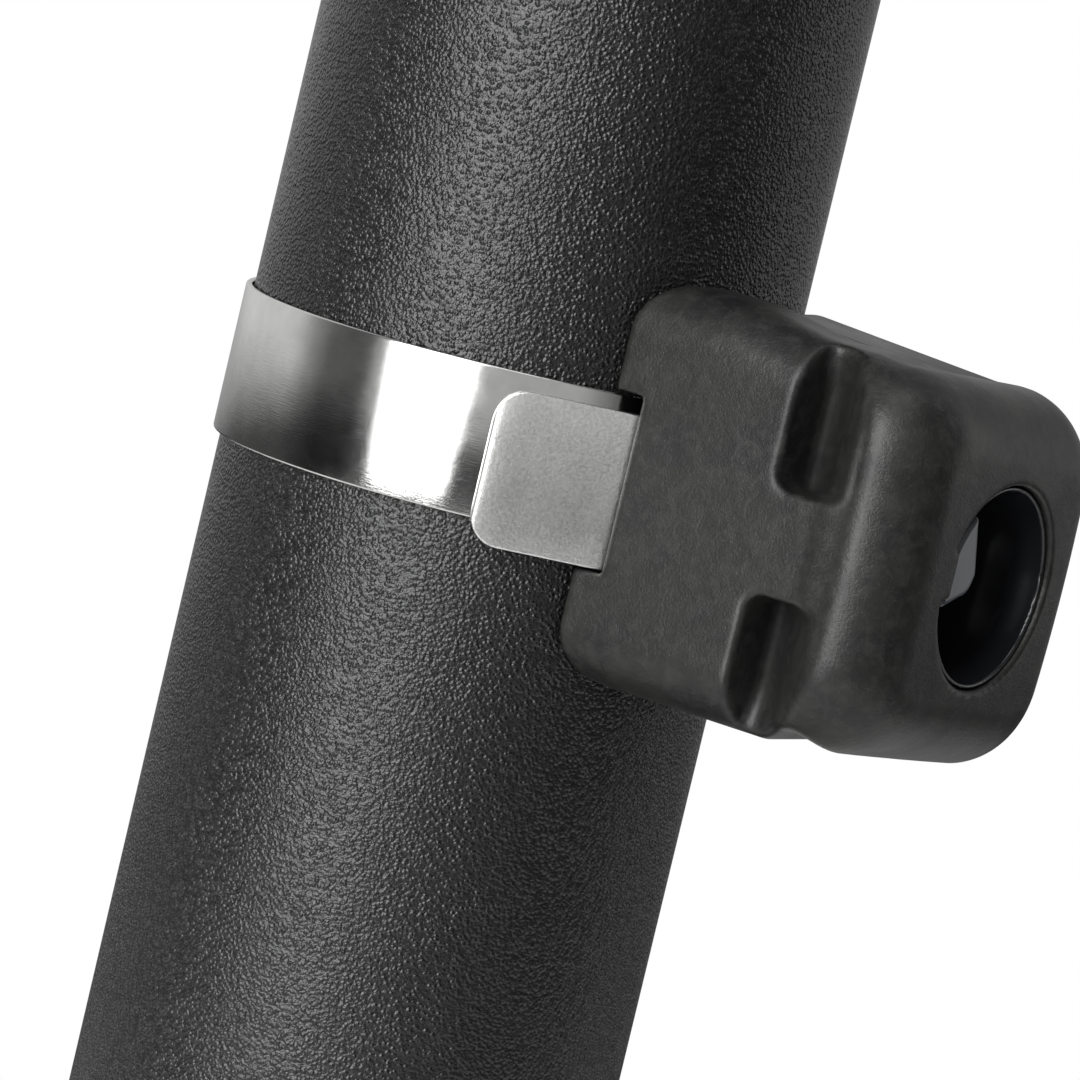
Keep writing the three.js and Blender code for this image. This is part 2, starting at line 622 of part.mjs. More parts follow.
const handle = new THREE.Group();
const pistonScrew = mesh("piston_screw", capScrew(SCREW_R, 12, 3.6, 2.5), steel);
pistonScrew.rotation.x = Math.PI;
pistonScrew.position.z = 43.5;
const handleScrew = mesh("handle_screw", capScrew(SCREW_R, 12, 3.6, 2.8), steel);
handleScrew.position.z = 282.3;
handle.add(
  mesh("piston_rod", pistonRod(), aluminium),
  mesh("rod_lower_plug", rodPlug(50.6, 60), brass),
  mesh("rod_upper_plug", rodPlug(266, 277.4), brass),
  mesh("piston_body", pistonBody(), acetal),
  mesh("piston_cup", pistonCup(), rubber),
  mesh("piston_washer", ring(9, SCREW_R + GAP, 43.8, 45, COARSE), steel),
  pistonScrew,
  mesh("bump_stop_ring", ring(10, ROD_R + GAP, 54.3, 58.3, COARSE), rubber),
  mesh("handle_core", handleCore(), hardBlack),
  mesh("handle_grip", handleGrip(), rubber),
  mesh("handle_ring", chamfered(HANDLE_R - 0.2, CORE_R + GAP, 204.3, 207.3, 0.4, FINE), aluminium),
  mesh("handle_end_cap", handleEndCap(), hardBlack),
  handleScrew,
);

const clamp = new THREE.Group();
clamp.add(
  mesh("clamp_band", clampBand(), stainless),
  mesh("clamp_block", clampBlock(), rubber),
  mesh("socket_liner", socketLiner(), glossBlack),
  mesh("draw_yoke", drawYoke(), steel),
  mesh("front_band_pin", bandPin(-1), steel),
  mesh("rear_band_pin", bandPin(1), steel),
  mesh("clamp_washer", clampWasher(), steel),
);

const tightener = new THREE.Group();
tightener.add(mesh("clamp_screw", clampScrew(), steel));

const pump = new THREE.Group();
pump.add(barrel, checkValve, lever, squeeze, handle, clamp, tightener);

export default pump;
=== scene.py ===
# A bicycle mini pump with a band clamp on its barrel, seen from close up at the clamp.
# Lengths in the code are millimetres in the row frame, and MM turns them into Blender's metres.
import math

import bmesh
import bpy
import numpy as np
import openvdb
from mathutils import Matrix, Vector


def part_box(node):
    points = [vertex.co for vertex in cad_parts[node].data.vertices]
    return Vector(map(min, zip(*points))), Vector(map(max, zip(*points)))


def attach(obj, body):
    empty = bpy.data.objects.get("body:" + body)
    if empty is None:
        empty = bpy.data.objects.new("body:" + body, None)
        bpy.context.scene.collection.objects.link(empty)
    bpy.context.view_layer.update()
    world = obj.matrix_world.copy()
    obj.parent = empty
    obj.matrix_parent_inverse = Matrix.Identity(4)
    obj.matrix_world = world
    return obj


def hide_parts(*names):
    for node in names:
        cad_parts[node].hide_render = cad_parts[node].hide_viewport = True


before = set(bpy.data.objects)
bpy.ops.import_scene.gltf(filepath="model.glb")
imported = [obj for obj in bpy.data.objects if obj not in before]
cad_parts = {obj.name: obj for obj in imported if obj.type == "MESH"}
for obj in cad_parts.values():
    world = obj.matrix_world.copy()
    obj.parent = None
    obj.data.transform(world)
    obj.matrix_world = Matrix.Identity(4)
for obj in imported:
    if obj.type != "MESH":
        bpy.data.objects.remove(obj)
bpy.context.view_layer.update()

MM = 0.001


# ---- Sizes read from the frame ----
def extent(node):
    """Lowest and highest corner of a CAD node, in millimetres."""
    low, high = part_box(node)
    return np.array(low) / MM, np.array(high) / MM


def middle(node):
    low, high = extent(node)
    return (low + high) / 2


BARREL_LOW, BARREL_HIGH = extent("barrel_tube")
BARREL_R = BARREL_HIGH[0]
BLOCK_Z = middle("clamp_block")[2]
BLOCK_END = extent("clamp_block")[1][0]
BAND_WIDTH = 9
BAND_Z = extent("clamp_band")[1][2] - BAND_WIDTH / 2  # only the strap's tabs reach lower
CLEAR = 0.3  # gap between neighbouring pieces, as in the CAD

# ---- Camera ----
VIEW_AZIMUTH = 31
VIEW_ELEVATION = 6.7
ROLL = 13.43  # degrees that the barrel leans to the right
DISTANCE = 450
SENSOR = 36
FIELD = 63.9  # height and width of the picture at the barrel's axis
AIM_RIGHT, AIM_UP = 3.9, -6.6  # the picture's centre from the band's centre


def add_camera():
    a, e, roll = (math.radians(x) for x in (VIEW_AZIMUTH, VIEW_ELEVATION, ROLL))
    right = Vector((math.cos(a), math.sin(a), 0))
    up = Vector((-math.sin(a) * math.sin(e), math.cos(a) * math.sin(e), math.cos(e)))
    back = right.cross(up)
    aim = Vector((0, 0, BAND_Z)) + AIM_RIGHT * right + AIM_UP * up
    x_axis = right * math.cos(roll) + up * math.sin(roll)
    y_axis = up * math.cos(roll) - right * math.sin(roll)
    data = bpy.data.cameras.new("camera")
    data.sensor_width = SENSOR
    data.lens = SENSOR * DISTANCE / FIELD
    data.clip_start = 0.01
    camera = bpy.data.objects.new("camera", data)
    bpy.context.scene.collection.objects.link(camera)
    turn = Matrix((x_axis, y_axis, back)).transposed().to_4x4()
    camera.matrix_world = Matrix.Translation((aim + back * DISTANCE) * MM) @ turn
    bpy.context.scene.camera = camera


# ---- Mesh making ----
def link(name, vertices, faces):
    """A smooth-shaded object from vertices in millimetres."""
    mesh = bpy.data.meshes.new(name)
    mesh.from_pydata((np.asarray(vertices) * MM).tolist(), [], [list(f) for f in faces])
    mesh.update()
    mesh.shade_smooth()
    piece = bpy.data.objects.new(name, mesh)
    bpy.context.scene.collection.objects.link(piece)
    return piece


def soften(piece, angle=35):
    """Keeps the edges that are sharper than the angle crisp in the shading."""
    piece.data.set_sharp_from_angle(angle=math.radians(angle))


def rounded(points, steps=5):
    """A closed outline of (x, y, corner radius), each corner turned into an arc."""
    outline = []
    count = len(points)
    for i, (x, y, radius) in enumerate(points):
        here = np.array([x, y], float)
        if not radius:
            outline.append(here)
            continue
        before = np.array(points[i - 1][:2], float) - here
        after = np.array(points[(i + 1) % count][:2], float) - here
        before /= np.linalg.norm(before)
        after /= np.linalg.norm(after)
        half = math.acos(max(-1.0, min(1.0, float(before @ after)))) / 2
        run = radius / math.tan(half)
        middle_way = (before + after) / np.linalg.norm(before + after)
        centre = here + middle_way * radius / math.sin(half)
        start, end = here + before * run - centre, here + after * run - centre
        angle = math.acos(max(-1.0, min(1.0, float(start @ end) / radius**2)))
        for k in range(steps + 1):
            t = k / steps
            spoke = (start * math.sin((1 - t) * angle) + end * math.sin(t * angle)) / math.sin(angle)
            outline.append(centre + spoke)
    return np.array(outline)


AXES = {
    "X": Matrix.Rotation(math.pi / 2, 3, "Y"),
    "Y": Matrix.Rotation(-math.pi / 2, 3, "X"),
    "Z": Matrix.Identity(3),
}


def turned(name, outline, axis="Z", at=(0, 0, 0), segments=128, steps=5, ripple=None):
    """A solid of revolution from a closed outline of (radius, position, corner radius) round an axis.

    ripple(angle, position, radius) gives what is added to each point's radius.
    """
    profile = rounded(outline, steps)
    angles = np.linspace(0, 2 * math.pi, segments, endpoint=False)
    radius = np.repeat(profile[None, :, 0], segments, 0)
    height = np.repeat(profile[None, :, 1], segments, 0)
    turn = np.repeat(angles[:, None], len(profile), 1)
    if ripple is not None:
        radius = radius + ripple(turn, height, radius)
    points = np.stack([radius * np.cos(turn), radius * np.sin(turn), height], -1).reshape(-1, 3)
    points = points @ np.array(AXES[axis]).T + np.array(at, float)
    rows, faces = len(profile), []
    for i in range(segments):
        j = (i + 1) % segments
        for k in range(rows):
            n = (k + 1) % rows
            faces.append((i * rows + k, j * rows + k, j * rows + n, i * rows + n))
    piece = link(name, points, faces)
    tidy_mesh(piece)
    soften(piece)
    return piece


def tidy_mesh(piece):
    """Joins points that coincide on the axis and turns every face outwards."""
    work = bmesh.new()
    work.from_mesh(piece.data)
    bmesh.ops.remove_doubles(work, verts=work.verts, dist=1e-7)
    bmesh.ops.recalc_face_normals(work, faces=work.faces)
    work.to_mesh(piece.data)
    work.free()
    piece.data.shade_smooth()


# ---- Solids as distance fields ----
class Field:
    """Sample points in a box, in millimetres."""

    def __init__(self, low, high, voxel):
        self.low = np.array(low, float)
        self.voxel = voxel
        counts = np.ceil((np.array(high) - self.low) / voxel).astype(int) + 1
        lines = [self.low[i] + voxel * np.arange(counts[i]) for i in range(3)]
        self.x, self.y, self.z = np.meshgrid(*lines, indexing="ij", sparse=True)

    def piece(self, name, distance):
        """The surface where the distance is zero, as an object."""
        shape = np.broadcast_shapes(self.x.shape, self.y.shape, self.z.shape)
        values = np.ascontiguousarray(np.broadcast_to(distance, shape), dtype=np.float32)
        grid = openvdb.FloatGrid(self.voxel * 3)
        grid.copyFromArray(values)
        grid.transform = openvdb.createLinearTransform(voxelSize=self.voxel)
        points, quads = grid.convertToQuads(isovalue=0.0)
        piece = link(name, points + self.low, quads)
        tidy_mesh(piece)
        return piece


def meet(a, b, radius=0.0):
    """Where two solids overlap, with a rounded edge of that radius between them."""
    if np.ndim(radius) == 0 and radius == 0:
        return np.maximum(a, b)
    corner = np.hypot(np.maximum(a + radius, 0), np.maximum(b + radius, 0))
    return np.minimum(np.maximum(a, b), -radius) + corner


def join(a, b, radius=0.0):
    """Two solids together, with a fillet of that radius between them."""
    return -meet(-a, -b, radius)


def cut(a, b, radius=0.0):
    """A solid with another one taken away, with a rounded edge of that radius round the hollow."""
    return meet(a, -b, radius)


def between(value, low, high):
    """Distance field of a slab."""
    return np.maximum(low - value, value - high)


def ease(value, low, high):
    """Smooth step from 0 at low to 1 at high."""
    t = np.clip((value - low) / (high - low), 0, 1)
    return t * t * (3 - 2 * t)


def mix(a, b, share):
    return a + (b - a) * share


def rectangle(a, b, half_a, half_b, corner):
    """Distance field of a prism with a rounded rectangular section."""
    da, db = np.abs(a) - half_a + corner, np.abs(b) - half_b + corner
    return np.minimum(np.maximum(da, db), 0) + np.hypot(np.maximum(da, 0), np.maximum(db, 0)) - corner


def hexagon(a, b, half):
    """Distance field of a hexagonal prism, half across the flats."""
    sides = [np.abs(a * math.cos(t) + b * math.sin(t)) for t in (0, math.pi / 3, -math.pi / 3)]
    return np.maximum(np.maximum(sides[0], sides[1]), sides[2]) - half


# ---- Materials ----
def add_node(tree, kind, inputs=None, **settings):
    """A node with those settings, and with its inputs set by value or by link."""
    node = tree.nodes.new(kind)
    for key, value in settings.items():
        setattr(node, key, value)
    for key, value in (inputs or {}).items():
        if isinstance(value, bpy.types.NodeSocket):
            tree.links.new(value, node.inputs[key])
        else:
            node.inputs[key].default_value = value
    return node


class Nodes:
    """Short calls for building a material's node tree."""

    def __init__(self, name):
        self.material = bpy.data.materials.new(name)
        self.material.use_nodes = True
        self.tree = self.material.node_tree
        self.shader = self.tree.nodes["Principled BSDF"]
        self.coordinates = self.add("ShaderNodeTexCoord").outputs["Object"]

    def add(self, kind, inputs=None, **settings):
        return add_node(self.tree, kind, inputs, **settings)

    def stretched(self, x, y, z):
        """Coordinates with each axis multiplied."""
        mapping = self.add("ShaderNodeMapping", {"Vector": self.coordinates, "Scale": (x, y, z)})
        return mapping.outputs["Vector"]

    def distance(self, vector):
        """Length of a vector."""
        return self.add("ShaderNodeVectorMath", {0: vector}, operation="LENGTH").outputs["Value"]

    def noise(self, size, detail=2.0, rough=0.5, distortion=0.0, vector=None):
        """Noise with features of about the given size in millimetres."""
        inputs = {"Vector": vector or self.coordinates, "Scale": 1 / (size * MM), "Detail": detail}
        inputs.update({"Roughness": rough, "Distortion": distortion})
        return self.add("ShaderNodeTexNoise", inputs).outputs["Fac"]

    def cells(self, size, smooth):
        """Distance from the middles of cells of about the given size in millimetres."""
        inputs = {"Vector": self.coordinates, "Scale": 1 / (size * MM), "Smoothness": smooth}
        return self.add("ShaderNodeTexVoronoi", inputs, feature="SMOOTH_F1").outputs["Distance"]

    def span(self, value, low, high, to_low=0.0, to_high=1.0):
        """Value from low to high, carried over to another range and held at its ends."""
        inputs = {"Value": value, "From Min": low, "From Max": high, "To Min": to_low, "To Max": to_high}
        return self.add("ShaderNodeMapRange", inputs).outputs["Result"]

    def blend(self, factor, first, second):
        """Mix of two colours, or of two sockets."""
        node = self.add("ShaderNodeMix", data_type="RGBA")
        # 0 is the share, and 6 and 7 are the two colours
        for i, value in ((0, factor), (6, first), (7, second)):
            socket = node.inputs[i]
            if isinstance(value, bpy.types.NodeSocket):
                self.tree.links.new(value, socket)
            else:
                socket.default_value = (*value, 1) if isinstance(value, tuple) else value
        return node.outputs[2]

    def math(self, operation, a, b=0.0):
        return self.add("ShaderNodeMath", {0: a, 1: b}, operation=operation).outputs[0]

    def bump(self, height, depth, normal=None):
        """A bump of the given depth in millimetres."""
        inputs = {"Height": height, "Distance": depth * MM, "Strength": 1.0}
        if normal is not None:
            inputs["Normal"] = normal
        return self.add("ShaderNodeBump", inputs).outputs["Normal"]

    def surface(self, **sockets):
        """Sets the shader's sockets, by value or by link, and returns the material."""
        for key, value in sockets.items():
            socket = self.shader.inputs[key.replace("_", " ").title().replace("Ior", "IOR")]
            if isinstance(value, bpy.types.NodeSocket):
                self.tree.links.new(value, socket)
            else:
                socket.default_value = (*value, 1) if isinstance(value, tuple) else value
        return self.material


def barrel_coat():
    """Satin black coating with a fine pebbled grain."""
    n = Nodes("barrel coat")
    pebbles = n.cells(0.28, 0.35)
    ripple = n.noise(0.21, 2, 0.5)
    swell = n.noise(2.2, 2)
    height = n.math("MULTIPLY", n.span(pebbles, 0.05, 0.55, 1, 0), 0.8)
    height = n.math("ADD", height, n.math("MULTIPLY", n.span(ripple, 0.3, 0.7), 0.45))
    height = n.math("ADD", height, n.math("MULTIPLY", swell, 0.5))
    tone = n.blend(n.span(ripple, 0.35, 0.65), (0.004, 0.0045, 0.004), (0.009, 0.0097, 0.009))
    rough = n.span(swell, 0.3, 0.7, 0.2, 0.27)
    grain = n.bump(height, 0.075)
    return n.surface(base_color=tone, roughness=rough, normal=grain, specular_ior_level=0.5)


def moulded_rubber(name, low, high):
    """Dark grey rubber with a soft sheen, cloudy wear and a fine light speckle."""
    n = Nodes(name)
    cloud = n.noise(3.5, 4, 0.6)
    speck = n.noise(0.14, 2, 0.7)
    tone = n.blend(n.span(cloud, 0.35, 0.7), low, high)
    tone = n.blend(n.span(speck, 0.62, 0.8), tone, (0.085, 0.083, 0.08))
    rough = n.span(cloud, 0.3, 0.7, 0.6, 0.5)
    normal = n.bump(speck, 0.02, normal=n.bump(n.noise(0.5, 3), 0.03))
    return n.surface(base_color=tone, roughness=rough, normal=normal, specular_ior_level=0.5)


def clamp_rubber():
    """The clamp's rubber: mottled olive and violet greys, with painted shade darkening it down in the
    side pockets.
    """
    n = Nodes("clamp rubber")
    cloud = n.noise(4.5, 4, 0.65)
    mottle = n.noise(0.9, 3, 0.7, 0.4)
    speck = n.noise(0.16, 2, 0.7)
    tone = n.blend(n.span(cloud, 0.35, 0.65), (0.006, 0.0054, 0.0066), (0.016, 0.0163, 0.0138))
    tone = n.blend(n.span(mottle, 0.45, 0.7, 0, 0.7), tone, (0.026, 0.026, 0.0245))
    tone = n.blend(n.span(speck, 0.66, 0.84), tone, (0.06, 0.059, 0.056))
    # painted shade for the side pockets: the mask is 1 under the side faces, short of the head, and
    # between the top and the bottom
    place_of = n.add("ShaderNodeSeparateXYZ", {0: n.coordinates}).outputs
    from_middle = n.math("ABSOLUTE", n.math("SUBTRACT", place_of["Z"], BLOCK_Z * MM))
    under_side = n.span(n.math("ABSOLUTE", place_of["Y"]), 8.6 * MM, 9.5 * MM, 1, 0)
    short_of_head = n.span(place_of["X"], 29.6 * MM, 30.4 * MM, 1, 0)
    within_ends = n.span(from_middle, 8.8 * MM, 10.6 * MM, 1, 0)
    pocket_shade = n.math("MULTIPLY", n.math("MULTIPLY", under_side, short_of_head), within_ends)
    # painted shade: the pockets' colour is taken halfway towards near black
    tone = n.blend(n.math("MULTIPLY", pocket_shade, 0.5), tone, (0.004, 0.004, 0.004))
    rough = n.math("ADD", n.span(cloud, 0.3, 0.7, 0.44, 0.34), n.math("MULTIPLY", pocket_shade, 0.3))
    normal = n.bump(speck, 0.02, normal=n.bump(mottle, 0.03))
    # under the painted shade the sheen is turned down as well
    shine = n.span(pocket_shade, 0, 1, 0.38, 0.2)
    return n.surface(base_color=tone, roughness=rough, normal=normal, specular_ior_level=shine)


def moulded_plastic(name, colour, rough_low, rough_high, depth):
    """Hard plastic with a cloudy tone and a fine bump of that depth."""
    n = Nodes(name)
    cloud = n.noise(8, 4, 0.6)
    speck = n.noise(0.22, 2, 0.6)
    lighter = tuple(c * 1.5 for c in colour)
    tone = n.blend(n.span(cloud, 0.35, 0.7), colour, lighter)
    rough = n.span(cloud, 0.3, 0.7, rough_low, rough_high)
    return n.surface(base_color=tone, roughness=rough, normal=n.bump(speck, depth))


def strip_steel():
    """Rolled stainless strip: fine lines along the strap and a faint bloom."""
    n = Nodes("strip steel")
    lines = n.noise(0.9, 3, 0.6, vector=n.stretched(1, 1, 14))
    bloom = n.noise(2.5, 4, 0.6)
    tone = n.blend(n.span(bloom, 0.35, 0.7), (0.6, 0.6, 0.59), (0.7, 0.7, 0.69))
    rough = n.math("ADD", n.span(bloom, 0.3, 0.7, 0.08, 0.12), n.span(lines, 0.3, 0.7, 0, 0.03))
    # the flat tabs stand further out than the round strap and are left unpolished, with a fine speckle
    outward = n.distance(n.stretched(1, 1, 0))
    on_tab = n.span(outward, 16.95 * MM, 17.1 * MM)
    speck = n.noise(0.2, 3, 0.8)
    tone = n.blend(n.math("MULTIPLY", on_tab, n.span(speck, 0.35, 0.65)), tone, (0.88, 0.88, 0.87))
    rough = n.math("ADD", rough, n.math("MULTIPLY", on_tab, 0.2))
    fine = n.bump(n.math("MULTIPLY", on_tab, speck), 0.02, normal=n.bump(lines, 0.004))
    return n.surface(base_color=tone, metallic=1.0, roughness=rough, normal=fine)


def turned_metal(name, colour, roughness):
    """Lathe-turned metal with fine rings round the Z axis."""
    n = Nodes(name)
    rings = n.noise(1.2, 3, 0.6, vector=n.stretched(1, 1, 16))
    stain = n.noise(6, 4, 0.6)
    dark = tuple(c * 0.8 for c in colour)
    tone = n.blend(n.span(stain, 0.35, 0.7), dark, colour)
    base_rough = n.span(stain, 0.3, 0.7, roughness - 0.05, roughness + 0.05)
    rough = n.math("ADD", base_rough, n.span(rings, 0.3, 0.7, 0, 0.08))
    return n.surface(base_color=tone, metallic=1.0, roughness=rough, normal=n.bump(rings, 0.006))


def place(piece, body, slot, material, *nodes):
    """Gives a piece its material and its body, and hides the CAD nodes that it stands for."""
    piece.data.materials.append(material)
    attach(piece, body)
    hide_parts(*nodes)
    return piece


RUBBER = moulded_rubber("moulded rubber", (0.024, 0.0235, 0.0235), (0.042, 0.041, 0.04))
GRIP_RUBBER = moulded_rubber("grip rubber", (0.02, 0.02, 0.02), (0.034, 0.034, 0.034))
CLAMP_RUBBER = clamp_rubber()
HARD_BLACK = moulded_plastic("moulded plastic", (0.018, 0.018, 0.019), 0.38, 0.5, 0.015)
COAT = barrel_coat()
STEEL = turned_metal("bright steel", (0.5, 0.5, 0.51), 0.28)
SATIN_ALUMINIUM = turned_metal("satin aluminium", (0.72, 0.73, 0.74), 0.3)
LINER_GLOSS = moulded_plastic("glossy liner", (0.009, 0.0095, 0.011), 0.14, 0.22, 0.003)
# painted light: the liner's glossy black made paler for the key's ledge
KEY_PAINTED_LIT = moulded_plastic("glossy key painted lit", (0.06, 0.064, 0.072), 0.12, 0.2, 0.003)
ACETAL = moulded_plastic("off-white acetal", (0.62, 0.6, 0.55), 0.35, 0.45, 0.006)
BRASS = turned_metal("turned brass", (0.62, 0.45, 0.2), 0.25)


# ---- Barrel ----
def add_barrel():
    low, high = BARREL_LOW[2], BARREL_HIGH[2]
    bore = extent("barrel_end_plug")[1][0] + CLEAR
    outline = [(bore, low, 0.3), (BARREL_R, low, 0.4), (BARREL_R, high, 0.4), (bore, high, 0.3)]
    piece = turned("grained_barrel", outline, segments=256, steps=4)
    place(piece, "barrel", "barrel_coat", COAT, "barrel_tube")


# ---- Clamp strap ----
STRAP_THICKNESS = 0.36
PIN = middle("rear_band_pin")
PIN_R = extent("rear_band_pin")[1][0] - PIN[0]
STRAP_R = BARREL_R + 0.32  # centre line of the strap round the barrel
LOOP_R = PIN_R + 0.45  # centre line of the strap round its pin
STRAP_HALF = 4.4
TAB_HALF = 4.6
TAB_DROP = BAND_Z - TAB_HALF - extent("clamp_band")[0][2]
TAB_CORNER = 1.9
TAB_REACH = 4.0  # of the tab's free end past the point nearest the barrel's axis
TAB_DISTANCE = STRAP_R + 0.7  # of the tab's centre line from the barrel's axis


def facing(distance):
    """Direction that a line past the pin's centre faces, if it passes the axis at that distance."""
    return math.atan2(PIN[1], PIN[0]) + math.acos(distance / math.hypot(PIN[0], PIN[1]))


def strap_half():
    """Half the strap's centre line in three stretches, by barrel, pin and tab; and the tab's length."""
    leave = facing(STRAP_R + LOOP_R)
    tab = facing(TAB_DISTANCE - LOOP_R)
    around = [(STRAP_R * math.cos(t), STRAP_R * math.sin(t)) for t in np.linspace(math.pi, leave, 72)]
    loop = [
        (PIN[0] + LOOP_R * math.cos(t), PIN[1] + LOOP_R * math.sin(t))
        for t in np.linspace(leave + math.pi, tab + 2 * math.pi, 28)[1:]
    ]
    start = np.array(loop[-1])
    direction = np.array([-math.sin(tab), math.cos(tab)])
    end = TAB_DISTANCE * np.array([math.cos(tab), math.sin(tab)]) + direction * TAB_REACH
    length = float(np.linalg.norm(end - start))
    # the points crowd together where the tab's corners are round
    corner = [TAB_CORNER * (1 - math.cos(t)) for t in np.linspace(0, math.pi / 2, 9)]
    steps = [length - TAB_CORNER - 1.5, *[length - c for c in reversed(corner)]]
    straight = [tuple(start + direction * s) for s in steps]
    return around, loop, straight, length


def strap_shape():
    """Points of half the strap's centre line, and the strap's drop and half width at each."""
    around, loop, straight, length = strap_half()
    line = np.array(around[1:] + loop + straight)
    drop = np.zeros(len(line))
    half = np.full(len(line), STRAP_HALF)
    first_loop = len(around) - 1
    first_tab = first_loop + len(loop)
    for i in range(first_loop, first_tab):
        share = ease(i - first_loop + 1, 0, len(loop))
        drop[i] = -TAB_DROP * share
        half[i] = mix(STRAP_HALF, TAB_HALF, share)
    start = line[first_tab - 1]
    for i in range(first_tab, len(line)):
        left = length - float(np.linalg.norm(line[i] - start))
        inset = TAB_CORNER - math.sqrt(max(TAB_CORNER**2 - max(TAB_CORNER - left, 0) ** 2, 0))
        drop[i] = -TAB_DROP
        half[i] = TAB_HALF - inset
    return line, drop, half


def add_strap():
    line, drop, half = strap_shape()
    line = np.concatenate([(line * (1, -1))[::-1], [(-STRAP_R, 0)], line])
    drop = np.concatenate([drop[::-1], [0], drop])
    half = np.concatenate([half[::-1], [STRAP_HALF], half])
    piece = strip("steel_strap", line, drop + BAND_Z, half, STRAP_THICKNESS / 2)
    place(piece, "barrel", "stainless", strip_steel(), "clamp_band")


def strip_section(thick, edge=0.13):
    """Rounded section of a strip: each point's distance out and up, and 1 at the top or -1 below."""
    bend = np.linspace(0, math.pi / 2, 4)
    section = []
    corners = ((1, 1, bend), (-1, 1, bend[::-1]), (-1, -1, bend), (1, -1, bend[::-1]))
    for sign_s, sign_h, turns in corners:
        for t in turns:
            out = thick - edge + edge * math.cos(t)
            section.append((sign_s * out, sign_h * (edge * math.sin(t) - edge), sign_h))
    return section


def strip(name, line, level, half, thick):
    """A flat strip on edge along a line in plan, with rounded edges."""
    ahead = np.gradient(line, axis=0)
    ahead /= np.linalg.norm(ahead, axis=1)[:, None]
    side = np.stack([ahead[:, 1], -ahead[:, 0]], 1)
    section = strip_section(thick)
    points = []
    for i in range(len(line)):
        for out, rise, sign in section:
            x, y = line[i] + side[i] * out
            points.append((x, y, level[i] + sign * half[i] + rise))
    count, faces = len(section), []
    for i in range(len(line) - 1):
        for k in range(count):
            n = (k + 1) % count
            faces.append((i * count + k, i * count + n, (i + 1) * count + n, (i + 1) * count + k))
    faces += [tuple(range(count)), tuple(range((len(line) - 1) * count, len(line) * count))]
    piece = link(name, points, faces)
    tidy_mesh(piece)
    soften(piece, 40)
    return piece


# ---- Clamp block ----
# u, v and w are x, y and the height from the block's middle
SOCKET_Z = middle("socket_liner")[2]
SOCKET_R = 6.0
SADDLE_X, POCKET_X, NECK_X, FACE_X = 13.1, 24.9, 28, 34.9
SADDLE_HALF_WIDTH, NECK_HALF_WIDTH, HEAD_HALF_WIDTH = 10.1, 10.65, 11.6
SADDLE_TOP, FAR_TOP, NECK_TOP, HEAD_TOP = 11.9, 11.15, 11.05, 10.5
SADDLE_BOTTOM, HEAD_BOTTOM = 11.85, 11.9
SADDLE_EDGE, HEAD_EDGE, FOOT_EDGE, FACE_EDGE = 3.4, 5.5, 2.7, 4.2  # edge radii
TOP_LEAN = 0.05  # the top falls this much per millimetre towards the far side
TOP_FALL = 0.07  # the far part of the top falls this much per millimetre outwards
GROOVE_DEPTH = 0.8
CROWN = 0.004  # the end face's bulge, per square millimetre
POCKET_FLOOR = 7.4
WEB_HALF = 3.05  # half height of the web between the two pockets of a side
NOTCH_X, NOTCH_W, NOTCH_R = 28.8, -12.35, 1.5
STRAP_SPACE_R = 17.85
TAB_ANGLE = 46  # direction that the strap's tab faces
CAVITY_X, CAVITY_HALF_WIDTH, CAVITY_HALF_HEIGHT = 23.8, 8.6, 7.3  # round the draw yoke


def block_top(u, v):
    """Height of the top: a near part, a groove, a lower far part; then the head's plain leaning top."""
    near = mix(SADDLE_TOP, NECK_TOP, ease(u, 18.5, 25.5))
    far = FAR_TOP - TOP_FALL * (u - 16) - TOP_LEAN * (v - 0.5)
    groove = GROOVE_DEPTH * (1 - ease(u, 24.5, 28.5)) * ease(v, -4.8, -3.4) * (1 - ease(v, -2.0, -0.7))
    stepped = mix(near, far, ease(v, -4.2, -1.2)) - groove
    return mix(stepped, HEAD_TOP - TOP_LEAN * v, ease(u, 27.4, 29.6))


def block_body(u, v, w):
    """Saddle and head in one: the side swells from the saddle into the head's ridge."""
    saddle_side = mix(SADDLE_HALF_WIDTH, NECK_HALF_WIDTH, (u - SADDLE_X) / (NECK_X - SADDLE_X))
    into_head = ease(u, 27.8, 31.6)
    flank = np.abs(v) - mix(saddle_side, HEAD_HALF_WIDTH, into_head)
    bottom = mix(SADDLE_BOTTOM, HEAD_BOTTOM + TOP_LEAN * v, into_head)
    ends = np.maximum(w - block_top(u, v), -w - bottom)
    body = meet(flank, ends, mix(SADDLE_EDGE, HEAD_EDGE, into_head))
    foot = meet(SADDLE_X - u, ends, FOOT_EDGE)
    crown = CROWN * (v**2 + w**2)
    return meet(np.maximum(body, foot), u - FACE_X + crown, FACE_EDGE)


def block_pockets(u, v, w):
    """Two pockets in each side: a steep wall towards the saddle and a slanted one towards the head."""
    side = np.abs(v)
    leading = POCKET_X + 0.16 * (10.4 - side) - u
    trailing = 0.71 * (u - 26.2 - side + POCKET_FLOOR)
    pocket = meet(meet(leading, trailing, 0.3), WEB_HALF - np.abs(w + 0.65), 1.0)
    floor = POCKET_FLOOR + 0.7 * ease(np.abs(w + 0.3), 8, 11.4)
    return meet(pocket, floor - side, 0.6)


def strap_space(f):
    """Room for the strap round the barrel and for its two tabs."""
    side = np.abs(f.y)
    height = between(f.z, BAND_Z - 5.85, BAND_Z + 4.65)
    slot = meet(np.hypot(f.x, f.y) - STRAP_SPACE_R, height, 0.4)
    tab = math.radians(TAB_ANGLE)
    off_tab = np.abs(math.cos(tab) * f.x + math.sin(tab) * side - TAB_DISTANCE) - 0.65
    tunnel = np.maximum(np.maximum(off_tab, height), between(side, 6.0, 12.0))
    return np.minimum(slot, tunnel)


def liner_hole(f):
    """Room for the liner, from the draw yoke's cavity to the mouth."""
    high = extent("socket_liner")[1]
    radius = np.hypot(f.y, f.z - SOCKET_Z)
    return np.maximum(radius - high[1] - 0.2, between(f.x, 20, 33.5))


